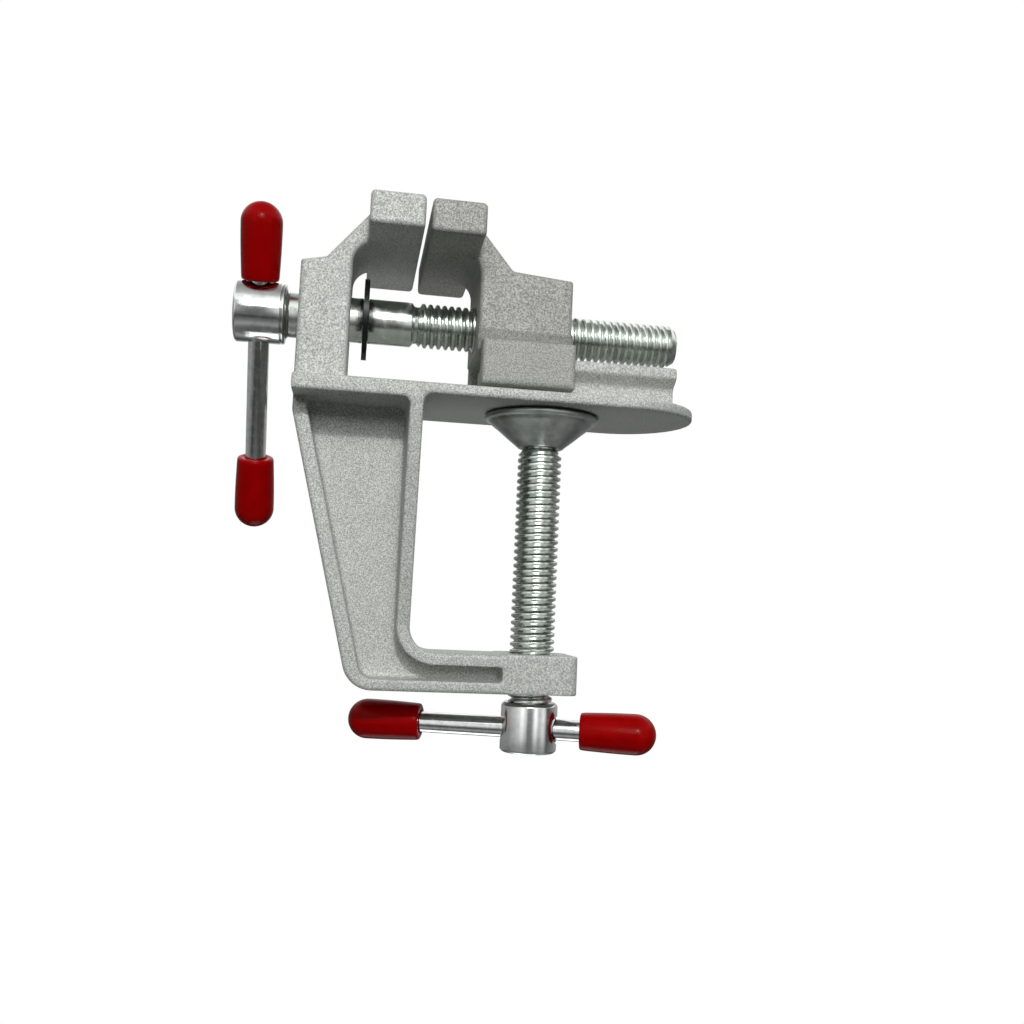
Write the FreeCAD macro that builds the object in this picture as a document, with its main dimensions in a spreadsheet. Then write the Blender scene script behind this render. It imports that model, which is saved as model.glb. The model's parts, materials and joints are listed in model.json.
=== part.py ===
import FreeCAD, Part
import math
import os
import Sketcher

from FreeCAD import Placement, Rotation, Vector

# A small bench vise that clamps to the edge of a table.
# X runs along the vise screw, from the fixed jaw to the moving jaw, Y across the jaws, Z up.
# The origin is on the underside of the base plate, where the clamp screw's axis meets it.
# Lengths are in millimetres and angles in degrees.

# ---------------------------------------------------------------- driving dimensions

SIZES = {
    # screws and their running fits
    "screw_dia": 7.8,
    "screw_fit": 0.05,
    "screw_chamfer": 0.8,
    "screw_height": 14.6,
    "screw_pitch": 1.25,
    "thread_depth": 0.65,
    "thread_root": 0.2,
    "thread_flank": 30.0,
    "spigot_dia": 5.0,
    "spigot_length": 1.7,
    # base plate
    "back_face": 43.4,
    "plate_width": 26.3,
    "plate_reach": 27.4,
    "plate_thick": 1.9,
    "plate_edge": 0.4,
    "root_drop": 0.8,
    # jaws
    "jaw_width": 35.5,
    "jaw_depth": 5.6,
    "jaw_thick": 9.0,
    "jaw_top": 31.6,
    "jaw_face": 23.45,
    "jaw_gap": 1.0,
    "moving_head_drop": 0.35,
    "jaw_edge": 0.7,
    # fixed post and the strut that carries the fixed jaw
    "post_width": 16.5,
    "post_thick": 8.6,
    "post_edge": 0.8,
    "shoulder_height": 22.2,
    "shoulder_rise": 0.9,
    "shoulder_run": 4.2,
    "strut_inset": 0.2,
    "neck_curve": 3.5,
    # guide rail
    "rail_start": 11.0,
    "rail_end": 22.5,
    "rail_width": 16.0,
    "rail_neck": 12.0,
    "rail_top": 8.8,
    "rail_side": 6.9,
    "rail_under": 5.2,
    "rail_edge": 0.4,
    # moving jaw
    "block_setback": 9.45,
    "block_length": 16.3,
    "block_top": 23.55,
    "block_back_drop": 0.85,
    "skirt_width": 22.5,
    "skirt_shift": 0.5,
    "skirt_length": 16.1,
    "skirt_top": 10.7,
    "skirt_blend": 1.5,
    "skirt_gap": 0.9,
    "skirt_edge": 0.8,
    "slot_gap": 0.4,
    # table clamp: the C-shaped arm under the plate
    "arm_width": 13.3,
    "arm_lean": 14.3,
    "arm_drop": 3.0,
    "arm_bottom": 49.0,
    "arm_top": 42.4,
    "arm_edge": 0.6,
    "outer_flange": 2.5,
    "throat_face": 21.95,
    "throat_flange": 2.3,
    "throat_curve": 4.3,
    "upper_flange": 2.1,
    "lower_flange": 1.9,
    "web_thick": 3.0,
    "heel_curve": 5.0,
    "boss_left": 6.0,
    "boss_right": 7.0,
    "boss_width": 13.9,
    "boss_corner": 1.5,
    "boss_top": 42.3,
    "boss_bottom": 48.9,
    # vise screw
    "vise_hub_dia": 10.6,
    "vise_hub_length": 8.55,
    "vise_flare": 0.6,
    "vise_neck_gap": 1.8,
    "vise_bar_inset": 4.0,
    "hub_chamfer": 0.5,
    "shank_end": 24.2,
    "runout_length": 1.2,
    "runout_dia": 6.6,
    "vise_screw_end": 23.9,
    # retaining clip
    "clip_place": 32.65,
    "clip_thick": 0.9,
    "clip_dia": 14.5,
    "clip_ring": 2.0,
    "clip_mouth": 8.0,
    "clip_prong": 3.2,
    "groove_dia": 7.0,
    "clip_fit": 0.05,
    # tommy bars and their caps
    "bar_dia": 3.6,
    "bar_hole_dia": 4.8,
    "bar_seat": 10.5,
    "bar_chamfer": 0.5,
    "cap_dia": 7.0,
    "cap_mouth_dia": 6.4,
    "cap_length": 13.1,
    "vise_bar_free": 31.45,
    "vise_bar_tilt": 23.0,
    "vise_bar_rest_gap": 0.12,
    "clamp_bar_free": 28.3,
    "clamp_bar_below": 4.5,
    "clamp_bar_turn": 17.0,
    "clamp_bar_right": 9.0,
    # clamp screw and swivel pad
    "clamp_hub_dia": 9.9,
    "clamp_hub_top": 50.7,
    "clamp_hub_length": 8.5,
    "pad_rest_gap": 0.3,
    "pad_dia": 20.3,
    "pad_height": 5.7,
    "pad_rim": 0.5,
    "pad_wall": 1.2,
    "pad_floor": 1.0,
    "pad_foot_dia": 8.2,
    "pad_hole_dia": 5.2,
    "pad_land": 1.0,
    "pivot_neck_dia": 4.6,
    "pivot_head_dia": 7.2,
    "pivot_head_height": 2.0,
    "pivot_gap": 0.3,
}


class Size:
    """A length that keeps both its value and the spreadsheet expression it stands for."""

    def __init__(self, value, text):
        self.value = value
        self.text = text

    def __add__(self, other):
        return combine(self, "+", other)

    def __sub__(self, other):
        return combine(self, "-", other)

    def __mul__(self, factor):
        return combine(self, "*", factor)

    def __truediv__(self, factor):
        return combine(self, "/", factor)

    def __neg__(self):
        return Size(-self.value, "(-1 * " + self.text + ")")


def combine(first, sign, second):
    if not isinstance(second, Size):
        second = Size(float(second), repr(float(second)))
    value = {
        "+": lambda: first.value + second.value,
        "-": lambda: first.value - second.value,
        "*": lambda: first.value * second.value,
        "/": lambda: first.value / second.value,
    }[sign]()
    return Size(value, "(" + first.text + " " + sign + " " + second.text + ")")


def sine(angle):
    return Size(math.sin(math.radians(angle.value)), "sin(" + angle.text + ")")


def cosine(angle):
    return Size(math.cos(math.radians(angle.value)), "cos(" + angle.text + ")")


def tangent(angle):
    return Size(math.tan(math.radians(angle.value)), "tan(" + angle.text + ")")


def whole(amount):
    return Size(math.floor(amount.value), "floor(" + amount.text + ")")


ZERO = Size(0.0, "0")

doc = FreeCAD.newDocument("bench_vise")
sheet = doc.addObject("Spreadsheet::Sheet", "dims")
size = {}
for row, (alias, number) in enumerate(SIZES.items(), start=1):
    cell = "B" + str(row)
    sheet.set("A" + str(row), alias)
    sheet.set(cell, str(number))
    sheet.setAlias(cell, alias)
    size[alias] = Size(number, "dims." + alias)
doc.recompute()

# ---------------------------------------------------------------- sketches and features


def bind(item, name, length):
    """Tie one property of an object to the spreadsheet."""
    item.setExpression(name, length.text)


def origin_plane(body, role):
    return [item for item in body.Origin.OriginFeatures if item.Role == role][0]


def new_sketch(body, name, plane, offset=None):
    sketch = body.newObject("Sketcher::SketchObject", name)
    sketch.AttachmentSupport = [(origin_plane(body, plane), "")]
    sketch.MapMode = "FlatFace"
    if offset is not None:
        bind(sketch, "AttachmentOffset.Base.z", offset)
    return sketch


def bound(sketch, kind, parts, length):
    index = sketch.addConstraint(Sketcher.Constraint(kind, *parts, length.value))
    bind(sketch, "Constraints[" + str(index) + "]", length)


def arc_between(start, end, radius):
    """The shorter arc from start to end; a positive radius turns anticlockwise."""
    chord = end - start
    side = Vector(-chord.y, chord.x, 0).normalize()
    rise = math.sqrt(max(radius * radius - chord.Length * chord.Length / 4, 0.0))
    centre = (start + end) / 2 + side * math.copysign(rise, radius)
    first, last = (start, end) if radius > 0 else (end, start)
    angles = [math.atan2(point.y - centre.y, point.x - centre.x) for point in (first, last)]
    circle = Part.Circle(centre, Vector(0, 0, 1), abs(radius))
    return Part.ArcOfCircle(circle, angles[0], angles[1])


def add_loop(sketch, corners):
    """Close a loop through corners (across, up); a third entry bends the side that follows."""
    count = len(corners)
    ends = []
    for index, corner in enumerate(corners):
        following = corners[(index + 1) % count]
        start = Vector(corner[0].value, corner[1].value, 0)
        end = Vector(following[0].value, following[1].value, 0)
        if len(corner) == 3:
            edge = sketch.addGeometry(arc_between(start, end, corner[2].value), False)
            ends.append((edge, 1, 2) if corner[2].value > 0 else (edge, 2, 1))
        else:
            edge = sketch.addGeometry(Part.LineSegment(start, end), False)
            ends.append((edge, 1, 2))
    for index, corner in enumerate(corners):
        edge, head, tail = ends[index]
        before = ends[index - 1]
        sketch.addConstraint(Sketcher.Constraint("Coincident", before[0], before[2], edge, head))
        bound(sketch, "DistanceX", (edge, head), corner[0])
        bound(sketch, "DistanceY", (edge, head), corner[1])
        if len(corner) == 3:
            radius = corner[2] if corner[2].value > 0 else -corner[2]
            bound(sketch, "Radius", (edge,), radius)


def add_circle(sketch, across, up, radius):
    centre = Vector(across.value, up.value, 0)
    edge = sketch.addGeometry(Part.Circle(centre, Vector(0, 0, 1), radius.value), False)
    bound(sketch, "Radius", (edge,), radius)
    bound(sketch, "DistanceX", (edge, 3), across)
    bound(sketch, "DistanceY", (edge, 3), up)


def new_body(label):
    body = doc.addObject("PartDesign::Body", label)
    body.Label = label
    return body


def place(body, base, axis=None, angle=None):
    """Stand a body at a point, turned about one axis, both tied to the spreadsheet."""
    if axis is not None:
        body.Placement = Placement(Vector(), Rotation(axis, angle.value))
        bind(body, "Placement.Rotation.Angle", angle)
    for name, length in zip("xyz", base):
        bind(body, "Placement.Base." + name, length)


def swept(body, kind, name, sketch, length=None, both_ways=True):
    """A pad or pocket of a sketch; without a length a pocket goes right through."""
    feature = body.newObject("PartDesign::" + kind, name)
    feature.Profile = sketch
    feature.SideType = "Symmetric" if both_ways else "One side"
    if length is None:
        feature.Type = "ThroughAll"
    else:
        bind(feature, "Length", length)
    doc.recompute()
    return feature


def rounded(body, name, base, radius, wanted=None):
    """Round the edges of the last feature that lie where the test says, or all of them."""
    fillet = body.newObject("PartDesign::Fillet", name)
    edges = [
        "Edge" + str(index)
        for index, edge in enumerate(base.Shape.Edges, start=1)
        if wanted is None or wanted(edge.BoundBox)
    ]
    fillet.Base = (base, edges)
    bind(fillet, "Radius", radius)
    doc.recompute()
    return fillet


def turned(body, name, axis, profile):
    """Revolve a profile of (station, radius) corners about the body's own X or Z axis."""
    sketch = new_sketch(body, name + "_profile", "XZ_Plane")
    if axis == "X":
        add_loop(sketch, profile)
    else:
        swapped = [(entry[1], entry[0]) + tuple(-bend for bend in entry[2:]) for entry in profile]
        add_loop(sketch, swapped)
    feature = body.newObject("PartDesign::Revolution", name)
    feature.Profile = sketch
    feature.ReferenceAxis = (sketch, ["H_Axis" if axis == "X" else "V_Axis"])
    feature.Angle = 360
    doc.recompute()
    return feature


def merged(label, pieces):
    fuse = doc.addObject("Part::MultiFuse", label)
    fuse.Label = label
    fuse.Shapes = pieces
    fuse.Refine = True
    return fuse


NEAR = 0.001


def on_sides(width):
    """Edges that lie in one of the two faces of a pad that is symmetric about Y = 0."""
    half = width.value / 2
    return lambda box: box.YLength < NEAR and abs(abs(box.YMin) - half) < NEAR


# ---------------------------------------------------------------- shared places

HALVED = ("_width", "_dia", "_thick", "_neck", "_root")
half = {name: size[name] / 2 for name in SIZES if name.endswith(HALVED)}
bore_radius = half["screw_dia"] + size["screw_fit"]
jaw_bottom = size["jaw_top"] - size["jaw_depth"]
fixed_face = -size["jaw_face"]
fixed_back = fixed_face - size["jaw_thick"]
moving_face = fixed_face + size["jaw_gap"]
moving_back = moving_face + size["jaw_thick"]
moving_top = size["jaw_top"] - size["moving_head_drop"]
moving_bottom = jaw_bottom - size["moving_head_drop"]
post_left = -size["back_face"]
post_right = post_left + size["post_thick"]
block_left = moving_face + size["block_setback"]
block_right = block_left + size["block_length"]
strut_top = size["jaw_top"] - size["strut_inset"]
strut_foot = size["shoulder_height"] + size["shoulder_rise"]
strut_run = fixed_back + size["strut_inset"] - (post_left + size["shoulder_run"])
strut_rise = strut_top - strut_foot

# ---------------------------------------------------------------- frame casting


def jaw_head(label, face, back, bottom, top):
    """The wide bar that holds the work, rounded on every edge."""
    body = new_body(label)
    sketch = new_sketch(body, label + "_side", "XZ_Plane")
    corners = [(face, bottom), (back, bottom), (back, top), (face, top)]
    add_loop(sketch, corners)
    block = swept(body, "Pad", label + "_block", sketch, size["jaw_width"])
    rounded(body, label + "_edges", block, size["jaw_edge"])
    return body


def fixed_post():
    """The upright that carries the vise screw, with the sloping strut behind the jaw."""
    body = new_body("post")
    sketch = new_sketch(body, "post_side", "XZ_Plane")
    inside = (fixed_face + fixed_back) / 2
    curve = size["neck_curve"]
    corners = [
        (post_left, ZERO),
        (post_right, ZERO),
        (post_right, jaw_bottom - curve, -curve),
        (post_right + curve, jaw_bottom),
        (inside, jaw_bottom),
        (inside, strut_top),
        (fixed_back + size["strut_inset"], strut_top),
        (post_left + size["shoulder_run"], strut_foot),
        (post_left, size["shoulder_height"]),
    ]
    add_loop(sketch, corners)
    upright = swept(body, "Pad", "post_upright", sketch, size["post_width"])
    on_side = on_sides(size["post_width"])
    outer = fixed_back.value + size["strut_inset"].value

    def wanted(box):
        return on_side(box) and box.ZLength > NEAR and box.XMax < outer + NEAR

    rounded(body, "post_edges", upright, size["post_edge"], wanted)
    bore = new_sketch(body, "post_bore_circle", "YZ_Plane")
    add_circle(bore, ZERO, size["screw_height"], bore_radius)
    swept(body, "Pocket", "post_bore", bore)
    return body


def base_plate():
    """The flat plate with one full-round end."""
    body = new_body("plate")
    sketch = new_sketch(body, "plate_outline", "XY_Plane")
    across = half["plate_width"]
    centre = size["plate_reach"] - across
    corners = [
        (post_left, -across),
        (centre, -across, across),
        (size["plate_reach"], ZERO, across),
        (centre, across),
        (post_left, across),
    ]
    add_loop(sketch, corners)
    slab = swept(body, "Pad", "plate_slab", sketch, size["plate_thick"], both_ways=False)
    rounded(body, "plate_edges", slab, size["plate_edge"])
    return body


def plate_root():
    """The thicker part of the plate between the clamp arm's two flanges."""
    body = new_body("plate_root")
    sketch = new_sketch(body, "root_side", "XZ_Plane")
    right = -size["throat_face"]
    middle = half["plate_thick"]
    corners = [
        (post_left, -size["root_drop"]),
        (right, -size["root_drop"]),
        (right, middle),
        (post_left, middle),
    ]
    add_loop(sketch, corners)
    swept(body, "Pad", "root_slab", sketch, size["plate_width"])
    return body


def guide_rail():
    """The rail that the moving jaw rides on, undercut on both sides."""
    body = new_body("rail")
    sketch = new_sketch(body, "rail_section", "YZ_Plane", -size["rail_start"])
    wide = half["rail_width"]
    neck = half["rail_neck"]
    foot = half["plate_thick"]
    corners = [
        (-neck, foot),
        (neck, foot),
        (neck, size["rail_under"]),
        (wide, size["rail_side"]),
        (wide, size["rail_top"]),
        (-wide, size["rail_top"]),
        (-wide, size["rail_side"]),
        (-neck, size["rail_under"]),
    ]
    add_loop(sketch, corners)
    length = size["rail_start"] + size["rail_end"]
    bar = swept(body, "Pad", "rail_bar", sketch, length, both_ways=False)
    top = size["rail_top"].value

    def wanted(box):
        return abs(box.ZMin - top) < NEAR

    rounded(body, "rail_edges", bar, size["rail_edge"], wanted)
    return body


throat = -size["throat_face"]
lean_tangent = tangent(size["arm_lean"])
arm_foot = post_left - size["arm_drop"] * lean_tangent
heel_tangent = tangent((Size(90.0, "90") - size["arm_lean"]) / 2)


def heel(place_x, depth, radius):
    """A rounded corner between the leaning line and a level line: its two tangent points."""
    reach = radius * heel_tangent
    above = (
        place_x - reach * sine(size["arm_lean"]),
        -depth + reach * cosine(size["arm_lean"]),
        radius,
    )
    return [above, (place_x + reach, -depth)]


def arm_outline():
    curve = size["throat_curve"]
    corner = arm_foot + size["arm_bottom"] * lean_tangent
    return [
        (post_left, ZERO),
        (post_left, -size["arm_drop"]),
        *heel(corner, size["arm_bottom"], size["heel_curve"]),
        (ZERO, -size["arm_bottom"]),
        (ZERO, -size["arm_top"]),
        (throat + curve, -size["arm_top"], -curve),
        (throat, -size["arm_top"] + curve),
        (throat, ZERO),
    ]


def arm_window():
    """The hollow between the arm's flanges, which the web closes half way."""
    curve = size["throat_curve"] + size["throat_flange"]
    left = arm_foot + size["outer_flange"] / cosine(size["arm_lean"])
    top = size["root_drop"] / 2
    floor = size["arm_bottom"] - size["lower_flange"]
    ceiling = size["arm_top"] + size["upper_flange"]
    right = throat - size["throat_flange"]
    return [
        (left + top * lean_tangent, -top),
        *heel(left + floor * lean_tangent, floor, size["heel_curve"] - size["outer_flange"]),
        (-size["boss_left"], -floor),
        (-size["boss_left"], -ceiling),
        (right + curve, -ceiling, -curve),
        (right, -ceiling + curve),
        (right, -top),
    ]


def boss_outline():
    """A rectangle with rounded corners, seen from above."""
    left = -size["boss_left"]
    right = size["boss_right"]
    wide = half["boss_width"]
    bend = size["boss_corner"]
    return [
        (left + bend, -wide),
        (right - bend, -wide, bend),
        (right, -wide + bend),
        (right, wide - bend, bend),
        (right - bend, wide),
        (left + bend, wide, bend),
        (left, wide - bend),
        (left, -wide + bend, bend),
    ]


def clamp_arm():
    """The C-shaped arm, an I-section of two flanges and a web, with the boss for the screw."""
    body = new_body("arm")
    rim_sketch = new_sketch(body, "arm_rim_outline", "XZ_Plane")
    add_loop(rim_sketch, arm_outline())
    solid = swept(body, "Pad", "arm_solid", rim_sketch, size["arm_width"])
    on_side = on_sides(size["arm_width"])

    def wanted(box):
        return on_side(box) and box.ZMin < -NEAR and box.XMin < -NEAR

    rounded(body, "arm_edges", solid, size["arm_edge"], wanted)
    depth = half["arm_width"] - half["web_thick"]
    for name, offset, flip in (("front", half["web_thick"], True), ("rear", -half["web_thick"], False)):
        sketch = new_sketch(body, name + "_hollow_outline", "XZ_Plane", offset)
        add_loop(sketch, arm_window())
        hollow = body.newObject("PartDesign::Pocket", name + "_hollow")
        hollow.Profile = sketch
        hollow.SideType = "One side"
        hollow.Reversed = flip
        bind(hollow, "Length", depth)
        doc.recompute()
    boss_sketch = new_sketch(body, "boss_outline", "XY_Plane", -size["boss_bottom"])
    add_loop(boss_sketch, boss_outline())
    swept(body, "Pad", "boss", boss_sketch, size["boss_bottom"] - size["boss_top"], both_ways=False)
    bore_sketch = new_sketch(body, "boss_bore_circle", "XY_Plane")
    add_circle(bore_sketch, ZERO, ZERO, bore_radius)
    swept(body, "Pocket", "boss_bore", bore_sketch)
    return body


def throat_flange():
    """The arm's inner flange, as wide as the plate at its top and narrowing to the arm."""
    body = new_body("throat_flange")
    sketch = new_sketch(body, "flange_face", "YZ_Plane", throat - size["throat_flange"])
    wide = half["plate_width"]
    narrow = half["arm_width"]
    end = size["arm_top"] - size["throat_curve"]
    middle = half["plate_thick"]
    corners = [
        (-narrow, -end),
        (narrow, -end),
        (wide, -size["root_drop"]),
        (wide, middle),
        (-wide, middle),
        (-wide, -size["root_drop"]),
    ]
    add_loop(sketch, corners)
    swept(body, "Pad", "flange_wall", sketch, size["throat_flange"], both_ways=False)
    return body


frame_pieces = [
    fixed_post(),
    jaw_head("fixed_jaw", fixed_face, fixed_back, jaw_bottom, size["jaw_top"]),
    base_plate(),
    plate_root(),
    guide_rail(),
    clamp_arm(),
    throat_flange(),
]
frame_casting = merged("frame_casting", frame_pieces)

# ---------------------------------------------------------------- moving jaw


def jaw_carriage():
    """The moving jaw's nut block, with the skirt that grips the rail."""
    body = new_body("carriage")
    sketch = new_sketch(body, "block_side", "XZ_Plane")
    inside = (moving_face + moving_back) / 2
    curve = size["neck_curve"]
    foot = size["skirt_top"] - size["skirt_blend"]
    top = moving_top - size["strut_inset"]
    run = strut_run * ((top - size["block_top"]) / strut_rise)
    corners = [
        (block_left, foot),
        (block_right, foot),
        (block_right, size["block_top"] - size["block_back_drop"]),
        (moving_back - size["strut_inset"] + run, size["block_top"]),
        (moving_back - size["strut_inset"], top),
        (inside, top),
        (inside, moving_bottom),
        (block_left - curve, moving_bottom, -curve),
        (block_left, moving_bottom - curve),
    ]
    add_loop(sketch, corners)
    block = swept(body, "Pad", "block", sketch, size["post_width"])
    on_side = on_sides(size["post_width"])
    inner = moving_back.value - size["strut_inset"].value

    def wanted(box):
        return on_side(box) and box.ZMax > foot.value + NEAR and box.XMin > inner - NEAR

    rounded(body, "block_edges", block, size["post_edge"], wanted)

    section = new_sketch(body, "skirt_section", "YZ_Plane", block_left + size["skirt_shift"])
    wide = half["skirt_width"]
    narrow = half["post_width"]
    blend = size["skirt_blend"]
    bottom = size["plate_thick"] + size["skirt_gap"]
    corners = [
        (-wide, bottom),
        (wide, bottom),
        (wide, size["skirt_top"]),
        (narrow + blend, size["skirt_top"], -blend),
        (narrow, size["skirt_top"] + blend),
        (-narrow, size["skirt_top"] + blend, -blend),
        (-narrow - blend, size["skirt_top"]),
        (-wide, size["skirt_top"]),
    ]
    add_loop(section, corners)
    skirt = swept(body, "Pad", "skirt", section, size["skirt_length"], both_ways=False)

    def outer(box):
        return box.YLength < NEAR and abs(abs(box.YMin) - wide.value) < NEAR

    rounded(body, "skirt_edges", skirt, size["skirt_edge"], outer)

    slot = new_sketch(body, "slot_section", "YZ_Plane")
    gap = size["slot_gap"]
    lip = half["rail_neck"] + gap
    open_half = half["rail_width"] + gap
    corners = [
        (-lip, ZERO),
        (lip, ZERO),
        (lip, size["rail_under"] - gap),
        (open_half, size["rail_side"] - gap),
        (open_half, size["rail_top"] + gap),
        (-open_half, size["rail_top"] + gap),
        (-open_half, size["rail_side"] - gap),
        (-lip, size["rail_under"] - gap),
    ]
    add_loop(slot, corners)
    swept(body, "Pocket", "rail_slot", slot)
    bore = new_sketch(body, "nut_bore_circle", "YZ_Plane")
    add_circle(bore, ZERO, size["screw_height"], bore_radius)
    swept(body, "Pocket", "nut_bore", bore)
    return body


moving_head = jaw_head("moving_head", moving_face, moving_back, moving_bottom, moving_top)
moving_jaw = merged("moving_jaw", [jaw_carriage(), moving_head])

# ---------------------------------------------------------------- vise screw, hub and clip

screw_radius = half["screw_dia"]
spigot_radius = half["spigot_dia"]
clip_left = -size["clip_place"]
groove_right = clip_left + size["clip_thick"] + size["clip_fit"] * 2
vise_neck = -size["back_face"] - size["vise_neck_gap"]
vise_hub_right = vise_neck - size["vise_flare"]
vise_hub_left = vise_hub_right - size["vise_hub_length"]
vise_bar_place = vise_hub_left + size["vise_bar_inset"]


def threaded(body, name, axis, start, length):
    """Cut a thread's relief: a row of V-shaped rings, one for each turn of the thread."""
    pitch = size["screw_pitch"]
    root = screw_radius - size["thread_depth"]
    outside = screw_radius + size["screw_fit"]
    narrow = half["thread_root"]
    wide = narrow + (outside - root) * tangent(size["thread_flank"])
    middle = start + pitch / 2
    section = [
        (middle - wide, outside),
        (middle - narrow, root),
        (middle + narrow, root),
        (middle + wide, outside),
    ]
    sketch = new_sketch(body, name + "_section", "XZ_Plane")
    if axis == "Z":
        section = [(radius, station) for station, radius in section]
    add_loop(sketch, section)
    ring = body.newObject("PartDesign::Groove", name + "_ring")
    ring.Profile = sketch
    direction = (sketch, ["H_Axis" if axis == "X" else "V_Axis"])
    ring.ReferenceAxis = direction
    ring.Angle = 360
    rings = body.newObject("PartDesign::LinearPattern", name + "_rings")
    rings.Originals = [ring]
    rings.Direction = direction
    rings.Mode = "Spacing"
    bind(rings, "Offset", pitch)
    bind(rings, "Occurrences", whole(length / pitch))
    body.Tip = rings
    doc.recompute()


def vise_screw():
    """The screw: a spigot in the hub, a smooth shank with the clip's groove, and the thread."""
    body = new_body("vise_screw")
    neck = vise_neck
    shank = -size["shank_end"]
    groove = half["groove_dia"]
    chamfer = size["screw_chamfer"]
    profile = [
        (neck - size["spigot_length"], ZERO),
        (neck - size["spigot_length"], spigot_radius),
        (neck, spigot_radius),
        (neck, screw_radius),
        (clip_left, screw_radius),
        (clip_left, groove),
        (groove_right, groove),
        (groove_right, screw_radius),
        (shank, screw_radius),
        (shank + chamfer / 2, half["runout_dia"]),
        (shank + size["runout_length"], half["runout_dia"]),
        (shank + size["runout_length"] + chamfer / 2, screw_radius),
        (size["vise_screw_end"] - chamfer, screw_radius),
        (size["vise_screw_end"], screw_radius - chamfer),
        (size["vise_screw_end"], ZERO),
    ]
    turned(body, "screw_turning", "X", profile[::-1])
    start = shank + size["runout_length"] + chamfer / 2
    threaded(body, "thread", "X", start, size["vise_screw_end"] - start)
    place(body, (ZERO, ZERO, size["screw_height"]))
    return body


def vise_hub():
    """The head of the vise screw, flared down to the shank and cross-drilled for the bar."""
    body = new_body("vise_screw_hub")
    neck = vise_neck
    outer = half["vise_hub_dia"]
    chamfer = size["hub_chamfer"]
    profile = [
        (vise_hub_left, ZERO),
        (neck - size["spigot_length"], ZERO),
        (neck - size["spigot_length"], spigot_radius),
        (neck, spigot_radius),
        (neck, screw_radius),
        (vise_hub_right, outer),
        (vise_hub_left + chamfer, outer),
        (vise_hub_left, outer - chamfer),
    ]
    turned(body, "hub_turning", "X", profile)
    hole = new_sketch(body, "hub_hole_circle", "XY_Plane")
    add_circle(hole, vise_bar_place, ZERO, half["bar_hole_dia"])
    swept(body, "Pocket", "hub_hole", hole)
    place(body, (ZERO, ZERO, size["screw_height"]), Vector(1, 0, 0), size["vise_bar_tilt"])
    return body


def retaining_clip():
    """A flat E-shaped clip: an open ring with three prongs that sit in the screw's groove."""
    body = new_body("retaining_clip")
    offset = clip_left + size["clip_fit"]
    outer = half["clip_dia"]
    inner = outer - size["clip_ring"]
    ring = new_sketch(body, "clip_ring_circles", "YZ_Plane", offset)
    add_circle(ring, ZERO, ZERO, outer)
    add_circle(ring, ZERO, ZERO, inner)
    swept(body, "Pad", "clip_ring_plate", ring, size["clip_thick"], both_ways=False)
    prongs = new_sketch(body, "clip_prong_outlines", "YZ_Plane", offset)
    prong = size["clip_prong"] / 2
    reach = outer - size["clip_ring"] / 2
    bite = size["groove_dia"] / 4
    for corners in (
        [(-prong, bite), (prong, bite), (prong, reach), (-prong, reach)],
        [(-reach, -prong), (-bite, -prong), (-bite, prong), (-reach, prong)],
        [(bite, -prong), (reach, -prong), (reach, prong), (bite, prong)],
    ):
        add_loop(prongs, corners)
    swept(body, "Pad", "clip_prongs", prongs, size["clip_thick"], both_ways=False)
    seat = new_sketch(body, "clip_seat_outline", "YZ_Plane")
    add_circle(seat, ZERO, ZERO, half["groove_dia"] + size["clip_fit"])
    swept(body, "Pocket", "clip_seat", seat)
    mouth = new_sketch(body, "clip_mouth_outline", "YZ_Plane")
    side = size["clip_mouth"] / 2
    corners = [(-side, -outer * 2), (side, -outer * 2), (side, -prong * 1.5), (-side, -prong * 1.5)]
    add_loop(mouth, corners)
    swept(body, "Pocket", "clip_mouth_cut", mouth)
    place(body, (ZERO, ZERO, size["screw_height"]))
    return body


vise_screw_body = vise_screw()
vise_hub_body = vise_hub()
clip_body = retaining_clip()

# ---------------------------------------------------------------- tommy bars and caps


def bar_and_caps(bar_label, cap_labels, axis, upper_mouth, free_length, stand):
    """A plain bar with a dipped cap on each end; the mouths are set along the bar."""
    lower_mouth = upper_mouth - free_length
    radius = half["bar_dia"]
    bar = new_body(bar_label)
    seat = size["bar_seat"]
    chamfer = size["bar_chamfer"]
    top = upper_mouth + seat
    low = lower_mouth - seat
    profile = [
        (low, ZERO),
        (top, ZERO),
        (top, radius - chamfer),
        (top - chamfer, radius),
        (low + chamfer, radius),
        (low, radius - chamfer),
    ]
    turned(bar, bar_label + "_turning", axis, profile)
    place(bar, *stand)
    outer = half["cap_dia"]
    bodies = [bar]
    for label, mouth, end, side in (
        (cap_labels[0], upper_mouth, top, 1),
        (cap_labels[1], lower_mouth, low, -1),
    ):
        cap = new_body(label)
        tip = mouth + size["cap_length"] * side
        dome = tip - outer * side
        bend = outer if side > 0 else -outer
        profile = [
            (mouth, radius),
            (end - chamfer * side, radius),
            (end, radius - chamfer),
            (end, ZERO),
            (tip, ZERO, bend),
            (dome, outer),
            (mouth, half["cap_mouth_dia"]),
        ]
        turned(cap, label + "_turning", axis, profile)
        place(cap, *stand)
        bodies.append(cap)
    return bodies


vise_bar_stand = (
    (vise_bar_place, ZERO, size["screw_height"]),
    Vector(1, 0, 0),
    size["vise_bar_tilt"],
)
vise_bar_mouth = half["vise_hub_dia"] + size["vise_bar_rest_gap"]
vise_bar_labels = ("vise_bar_cap_top", "vise_bar_cap_bottom")
vise_bar_bodies = bar_and_caps(
    "vise_bar", vise_bar_labels, "Z", vise_bar_mouth, size["vise_bar_free"], vise_bar_stand
)

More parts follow.
